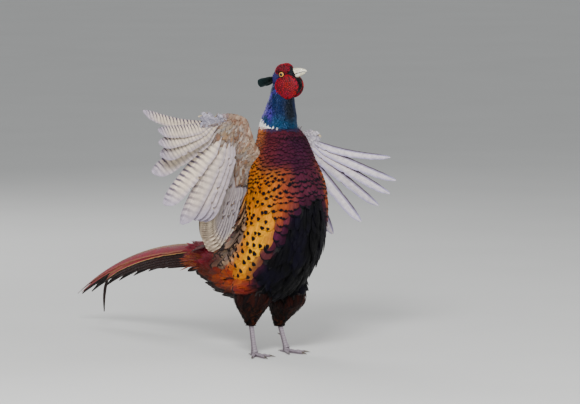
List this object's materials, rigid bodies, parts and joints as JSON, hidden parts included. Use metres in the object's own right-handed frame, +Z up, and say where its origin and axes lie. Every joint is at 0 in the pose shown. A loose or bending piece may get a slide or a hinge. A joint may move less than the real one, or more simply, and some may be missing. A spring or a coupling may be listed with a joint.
{
  "type": "common pheasant cock",
  "caption": "Male common pheasant, still, life size: upright and crowing, wings half open in a wing beat, long tail held low behind.",
  "frame": {"origin": "middle of the bird's bounding box, on the floor under it", "axes": "+Z up, the bird's breast faces -Y and its tail reaches to +Y, its right side is at -X"},
  "size_m": [0.5474, 0.722, 0.5578],
  "materials": {
    "head_feather": "satin",
    "neck_feather": "satin",
    "body_feather": "matte",
    "tail_feather": "matte",
    "wing_feather": "matte",
    "thigh_feather": "matte",
    "wattle_skin": "matte",
    "bill_horn": "satin",
    "leg_skin": "matte",
    "claw_horn": "satin",
    "eye": "gloss"
  },
  "bodies": {
    "root": {"bill_lower": "bill_horn", "bill_upper": "bill_horn", "claw_left_hind": "claw_horn", "claw_left_inner": "claw_horn", "claw_left_middle": "claw_horn", "claw_left_outer": "claw_horn", "claw_right_hind": "claw_horn", "claw_right_inner": "claw_horn", "claw_right_middle": "claw_horn", "claw_right_outer": "claw_horn", "eye_left": "eye", "eye_right": "eye", "foot_left": "leg_skin", "foot_right": "leg_skin", "head": "head_feather", "neck": "neck_feather", "shank_left": "leg_skin", "shank_right": "leg_skin", "spur_left": "claw_horn", "spur_right": "claw_horn", "tail": "tail_feather", "thigh_left": "thigh_feather", "thigh_right": "thigh_feather", "torso": "body_feather", "wattle_left": "wattle_skin", "wattle_right": "wattle_skin", "wing_left": "wing_feather", "wing_right": "wing_feather"}
  },
  "joints": []
}
